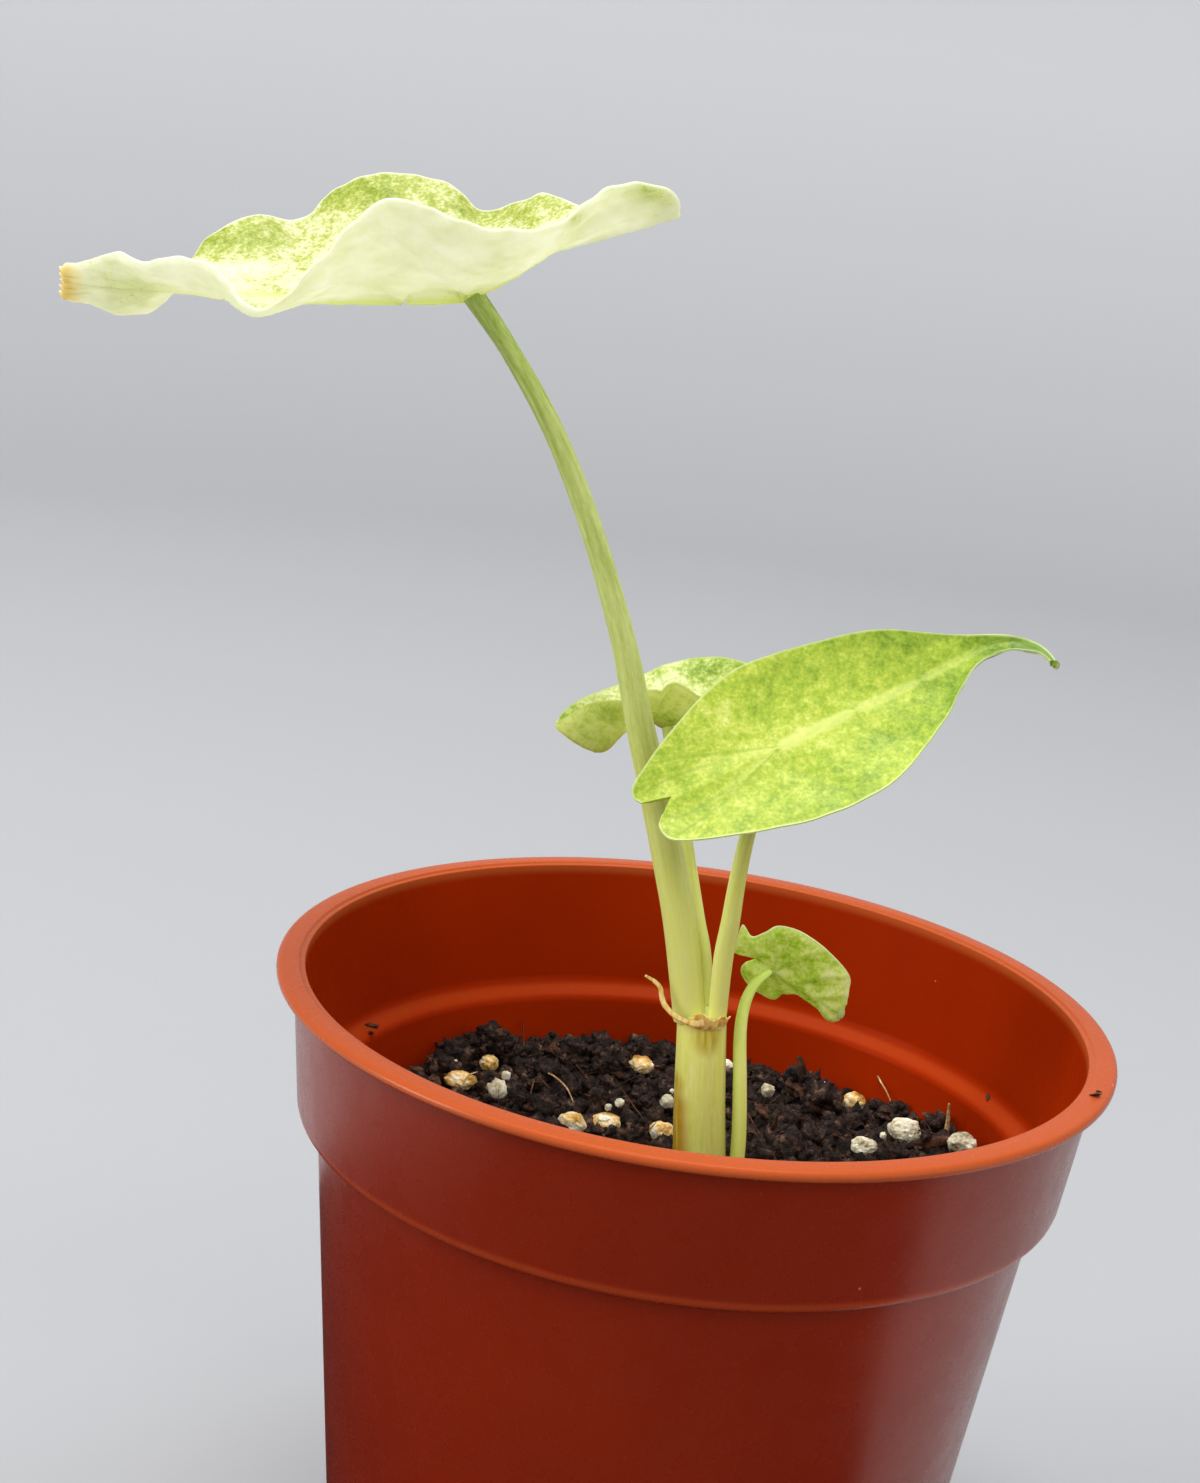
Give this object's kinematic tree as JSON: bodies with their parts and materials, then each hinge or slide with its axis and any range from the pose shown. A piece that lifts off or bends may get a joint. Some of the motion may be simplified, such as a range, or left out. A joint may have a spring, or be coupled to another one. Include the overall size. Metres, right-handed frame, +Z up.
{
  "type": "potted variegated alocasia",
  "caption": "Young variegated alocasia with waved pale leaves on slim stalks, growing in a tapered round plastic pot of peat, bark and pumice.",
  "frame": {"origin": "middle of the flat underside of the pot's base", "axes": "+Z up along the pot's axis; the picture looks along +Y, so +X is to its right"},
  "size_m": [0.1197, 0.09, 0.1635],
  "materials": {
    "pot_plastic": "satin moulded polypropylene, terracotta",
    "substrate": "rough damp peat and bark",
    "corm_skin": "fibrous",
    "sheath_skin": "waxy, ribbed lengthwise",
    "dried_sheath": "papery",
    "stalk_skin": "waxy",
    "cream_leaf": "thin, satin, mottled",
    "green_leaf": "thin, satin, mottled",
    "tan_pumice": "porous",
    "white_pumice": "porous"
  },
  "bodies": {
    "root": {"pot": "pot_plastic", "soil": "substrate", "corm": "corm_skin", "sheathed_stem": "sheath_skin", "dried_sheath": "dried_sheath", "stalk_top": "stalk_skin", "stalk_middle": "stalk_skin", "stalk_back": "stalk_skin", "stalk_small": "stalk_skin", "blade_top": "cream_leaf", "blade_middle": "green_leaf", "blade_back": "green_leaf", "blade_small": "green_leaf", "pumice_01": "white_pumice", "pumice_02": "tan_pumice", "pumice_03": "tan_pumice", "pumice_04": "tan_pumice", "pumice_05": "tan_pumice", "pumice_06": "tan_pumice", "pumice_07": "tan_pumice", "pumice_08": "tan_pumice", "pumice_09": "white_pumice", "pumice_10": "white_pumice", "pumice_11": "tan_pumice", "pumice_12": "tan_pumice", "pumice_13": "white_pumice", "pumice_14": "tan_pumice", "pumice_15": "tan_pumice", "pumice_16": "white_pumice"}
  },
  "joints": []
}
